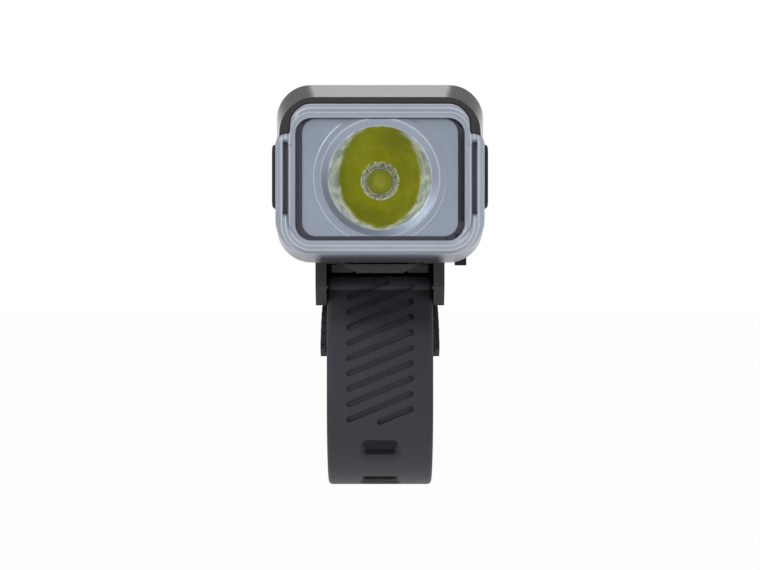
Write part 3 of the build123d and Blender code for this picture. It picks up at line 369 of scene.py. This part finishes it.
def strap_rubber():
    """The strap's rubber: dull blue-grey, with a fine skin, painted shade in its grooves and on its lower
    inner side, a darker band across the middle as painted shade, and a painted shadow towards the top.
    """
    finish = rubbery("strap rubber", (0.034, 0.033, 0.044), 0.58)
    # Painted shadow: the strap darkens towards its top, under the lamp body.
    lift = finish.z.rise(-0.010, 0.022)
    skin = finish.noise(520, 4)
    body = finish.tint(skin, (0.029, 0.028, 0.038), (0.040, 0.039, 0.051))
    # Painted shade: a darker band across the strap's middle.
    waist = finish.z.band(-0.011, -0.001, 0.006)
    body = finish.tint(waist * 0.5, body, (0.024, 0.023, 0.030))
    # Painted shade: the groove floors and the inner side of the loop below the middle are darkened.
    depth = (finish.y * finish.y + finish.z * finish.z).root()
    inside = 1 - depth.rise(strap_skin_radius - 0.001, strap_skin_radius)
    inside = inside * (1 - finish.z.rise(-0.004, 0.0))
    body = finish.tint(inside * 0.75, body, (0.010, 0.010, 0.013))
    # Painted shadow towards the top.
    finish.give(base_color=finish.tint(lift * 0.4, body, (0.024, 0.024, 0.031)))
    finish.raised(skin * 0.01)
    return finish


def circuit_mask():
    """Green solder mask over fine tracks."""
    finish = Finish("solder mask")
    tracks = ((finish.x * 5200).wave() * (finish.y * 3900).wave()).rise(0.3, 0.4)
    cloud = finish.noise(300, 2)
    board = finish.tint(cloud, (0.02, 0.10, 0.045), (0.03, 0.14, 0.06))
    finish.give(base_color=finish.tint(tracks * 0.5, board, (0.05, 0.20, 0.09)))
    finish.give(roughness=0.35 + (cloud - 0.5) * 0.2)
    finish.raised(tracks * 0.02)
    return finish


def clear_pipe():
    """Frosted clear plastic of the small light window."""
    finish = Finish("light window")
    grain = finish.noise(3000, 2)
    finish.give(base_color=finish.tint(grain, (0.55, 0.58, 0.62), (0.72, 0.75, 0.79)))
    finish.give(roughness=0.3 + grain * 0.2, transmission_weight=0.3)
    return finish


black_cover = moulded("satin black cover", (0.016, 0.016, 0.0175), 0.30, 2200, 0.005)
black_cover.give(coat_weight=0.7, coat_roughness=0.16)
black_housing = moulded("fine-textured black housing", (0.018, 0.018, 0.0195), 0.46, 1900, 0.014)
black_bracket = moulded("glass-filled black plastic", (0.016, 0.016, 0.018), 0.36, 1700, 0.010)
black_lever = moulded("polished black plastic", (0.022, 0.022, 0.026), 0.20, 1500, 0.003, 0.8)
grip_rubber = rubbery("grip rubber", (0.016, 0.016, 0.018), 0.66)
pad_rubber = rubbery("pad rubber", (0.030, 0.031, 0.036), 0.62)
seal_rubber = rubbery("seal rubber", (0.075, 0.068, 0.095), 0.38)
button_rubber = rubbery("button rubber", (0.030, 0.030, 0.033), 0.58)
cradle_plastic = moulded("grey cradle plastic", (0.11, 0.11, 0.115), 0.45, 1800, 0.012)
cell_sleeve = moulded("cell's shrink sleeve", (0.012, 0.045, 0.16), 0.25, 700, 0.010)
board_face = metal("metal-core board", (0.80, 0.81, 0.82), 0.42, (1, 1, 1))
sink_aluminium = metal("heat sink aluminium", (0.70, 0.71, 0.73), 0.38, (1, 0.08, 1))
nickel_strip = metal("nickel strip", (0.70, 0.68, 0.64), 0.28, (1, 1, 0.1))
stamped_steel = metal("stamped steel", (0.62, 0.62, 0.63), 0.30, (0.1, 1, 1))
black_steel = metal("blackened steel", (0.10, 0.10, 0.105), 0.34, (1, 1, 0.2))
ground_steel = metal("ground steel pin", (0.60, 0.60, 0.61), 0.24, (0.05, 1, 1))

finishes = {
    "lens_cover": frosted_lens(),
    "lens_gasket": seal_rubber,
    "shell_seal": seal_rubber,
    "reflector": reflector_metal(),
    "led_emitter": phosphor(),
    "led_dome": silicone_dome(),
    "led_board": board_face,
    "heat_sink": sink_aluminium,
    "top_shell": black_cover,
    "bottom_shell": black_housing,
    "side_grip_left": grip_rubber,
    "side_grip_right": grip_rubber,
    "power_button": button_rubber,
    "indicator_window": clear_pipe(),
    "battery_cell": cell_sleeve,
    "battery_cradle": cradle_plastic,
    "battery_tabs": nickel_strip,
    "main_board": circuit_mask(),
    "port_board": circuit_mask(),
    "tact_switch": stamped_steel,
    "usb_port": stamped_steel,
    "port_cover": grip_rubber,
    "housing_screws": black_steel,
    "shoe_screws": black_steel,
    "mount_shoe": black_bracket,
    "release_lever": black_lever,
    "lever_pin": ground_steel,
    "strap_pin": ground_steel,
    "bracket_body": black_bracket,
    "saddle_pad": pad_rubber,
    "strap_front": strap_rubber(),
    "strap_rear": strap_rubber(),
    "strap_tail": strap_rubber(),
}


def dress_nodes():
    """Gives each CAD node its finish."""
    for name, finish in finishes.items():
        finish.finish()
        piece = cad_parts[name]
        for slot in piece.material_slots:
            slot.material = finish.material
        if not piece.material_slots:
            piece.data.materials.append(finish.material)


def strap_run(name, nodes, seam_point, seam_normal, keep_front):
    """Joins copies of the strap's solids into one moulding, without the walls between them, and cuts it."""
    bpy.ops.object.select_all(action="DESELECT")
    copies = []
    for node in nodes:
        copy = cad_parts[node].copy()
        copy.data = copy.data.copy()
        for key in list(copy.keys()):
            del copy[key]
        copy.parent = None
        copy.matrix_world.identity()
        copy.hide_viewport = False
        copy.hide_render = False
        bpy.context.collection.objects.link(copy)
        copy.select_set(True)
        copies.append(copy)
    bpy.context.view_layer.objects.active = copies[0]
    bpy.ops.object.join()
    run = bpy.context.object
    run.name = name
    if run.data.has_custom_normals:
        bpy.ops.mesh.customdata_custom_splitnormals_clear()
    for parts in (run.data.vertices, run.data.edges, run.data.polygons):
        parts.foreach_set("select", [False] * len(parts))
    for face in run.data.polygons:
        away = (face.center - seam_point).dot(seam_normal)
        face.select = abs(away) < seam_reach and abs(face.normal.dot(seam_normal)) > seam_squareness
    bpy.context.tool_settings.mesh_select_mode = (False, False, True)
    bpy.ops.object.mode_set(mode="EDIT")
    bpy.ops.mesh.delete(type="FACE")
    bpy.ops.mesh.select_all(action="SELECT")
    bpy.ops.mesh.remove_doubles(threshold=weld_reach)
    bpy.ops.mesh.select_all(action="SELECT")
    bpy.ops.mesh.bisect(
        plane_co=(0, strap_cut_y, 0),
        plane_no=(0, 1, 0),
        use_fill=True,
        clear_outer=keep_front,
        clear_inner=not keep_front,
    )
    bpy.ops.mesh.select_all(action="DESELECT")
    bpy.ops.object.mode_set(mode="OBJECT")
    bpy.ops.object.shade_smooth_by_angle(angle=math.radians(smooth_angle))
    for slot in run.material_slots:
        slot.material = finishes["strap_front"].material
    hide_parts(*nodes)
    return run


def bending_strap():
    """The strap in two runs, each joined without a seam where the solids have their hinges."""
    low = Vector((0, 0, strap_bottom_z))
    front = strap_run("strap_loop", ["strap_front", "strap_rear"], low, Vector((0, 1, 0)), True)
    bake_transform(front)
    turn = math.radians(strap_rear_hinge_angle)
    along = Vector((0, math.sin(turn), math.cos(turn)))
    hinge = Vector((0, math.cos(turn), -math.sin(turn))) * -strap_bottom_z
    rear = strap_run("strap_end_run", ["strap_rear", "strap_tail"], hinge, along, False)
    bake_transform(rear)


def studio():
    """White surroundings behind the object and a dimmer room in front of it."""
    world = bpy.data.worlds.new("studio")
    bpy.context.scene.world = world
    world.use_nodes = True
    nodes = Nodes(world.node_tree)
    direction = nodes.split(nodes.add("ShaderNodeTexCoord", output="Generated"))
    behind = direction[1].rise(-0.1, 0.6) * (1 - direction[2].rise(0.05, 0.4))
    seen = nodes.light_path("Is Glossy Ray").at_least(nodes.light_path("Is Transmission Ray"))
    white = nodes.light_path("Is Camera Ray").at_least(seen * behind)
    ground = world.node_tree.nodes["Background"]
    ground.inputs["Color"].default_value = (1, 1, 1, 1)
    nodes.feed(ground.inputs["Strength"], white * (1 - room_light) + room_light)


def soft_lamp(name, place, aim, width, height, power):
    bpy.ops.object.light_add(type="AREA", location=place)
    lamp = bpy.context.object
    lamp.name = name
    lamp.data.shape = "RECTANGLE"
    lamp.data.size = width
    lamp.data.size_y = height
    lamp.data.energy = power
    lamp.rotation_euler = (aim - lamp.location).to_track_quat("-Z", "Y").to_euler()
    return lamp


def lights():
    middle = Vector((0, 0, 0.03))
    soft_lamp("key", (-0.38, -0.42, 0.42), middle, 0.34, 0.34, 1.9)
    fill = soft_lamp("fill", (0.42, -0.40, 0.22), middle, 0.34, 0.34, 1.3)
    fill.visible_glossy = False
    soft_lamp("strip", (0, 0.20, 0.39), Vector((0, -0.047, 0.062)), 0.095, 0.18, 0.085)


def floor():
    """A pale floor that the camera sees nearly white, with a faint shadow."""
    bpy.ops.mesh.primitive_plane_add(size=12, location=(0, 0, floor_z))
    ground = bpy.context.object
    ground.name = "floor"
    finish = Finish("pale floor")
    finish.give(base_color=(0.88, 0.88, 0.88, 1), roughness=0.9, specular_ior_level=0.1)
    glow = finish.add("ShaderNodeEmission", None, {"Color": (1, 1, 1, 1), "Strength": 1.0})
    seen = finish.light_path("Is Camera Ray").at_least(finish.light_path("Is Glossy Ray"))
    share = seen.at_least(finish.light_path("Is Transmission Ray")) * floor_glow
    own = Wire(finish, finish.shader.outputs[0])
    both = finish.add("ShaderNodeMixShader", None, {0: share, 1: own, 2: glow})
    finish.feed(finish.tree.nodes["Material Output"].inputs["Surface"], both)
    ground.data.materials.append(finish.material)


def camera():
    place = (0, -camera_distance, camera_height)
    bpy.ops.object.camera_add(location=place, rotation=(math.radians(90), 0, 0))
    viewer = bpy.context.object
    viewer.data.sensor_width = 36
    viewer.data.lens = camera_lens
    viewer.data.clip_start = 0.01
    viewer.data.clip_end = 30
    viewer.data.dof.use_dof = False
    bpy.context.scene.camera = viewer


bpy.ops.object.select_all(action="DESELECT")
bpy.context.scene.view_settings.view_transform = "Standard"
camera()
studio()
lights()
floor()
dress_nodes()
bending_strap()
